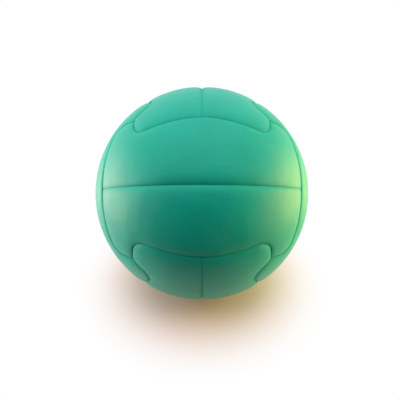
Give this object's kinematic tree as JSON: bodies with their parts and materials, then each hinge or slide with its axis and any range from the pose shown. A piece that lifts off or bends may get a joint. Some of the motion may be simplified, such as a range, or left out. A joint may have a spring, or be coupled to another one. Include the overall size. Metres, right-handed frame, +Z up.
{
  "type": "dodgeball",
  "caption": "Inflatable rubber dodgeball with raised T-shaped cover panels, recessed channels between them and a needle valve.",
  "frame": {"origin": "centre of the ball", "axes": "+Z up as the ball lies in the picture, -Y towards the viewer, +X to the viewer's right; the middle of the front face looks along -Y and 33.3 degrees up"},
  "size_m": [0.1774, 0.1772, 0.1774],
  "materials": {
    "cover_rubber": "matte moulded turquoise-green rubber",
    "carcass_rubber": "matte green rubber underlay",
    "nylon_thread": "wound thread set in latex",
    "bladder_rubber": "smooth black rubber",
    "valve_rubber": "matte black rubber"
  },
  "bodies": {
    "root": {"front_upper_panel": "cover_rubber", "front_lower_panel": "cover_rubber", "back_upper_panel": "cover_rubber", "back_lower_panel": "cover_rubber", "right_front_panel": "cover_rubber", "right_back_panel": "cover_rubber", "left_front_panel": "cover_rubber", "left_back_panel": "cover_rubber", "top_right_panel": "cover_rubber", "top_left_panel": "cover_rubber", "bottom_right_panel": "cover_rubber", "bottom_left_panel": "cover_rubber", "carcass": "carcass_rubber", "winding": "nylon_thread", "bladder": "bladder_rubber", "valve_housing": "valve_rubber", "valve_plug": "valve_rubber"}
  },
  "joints": []
}
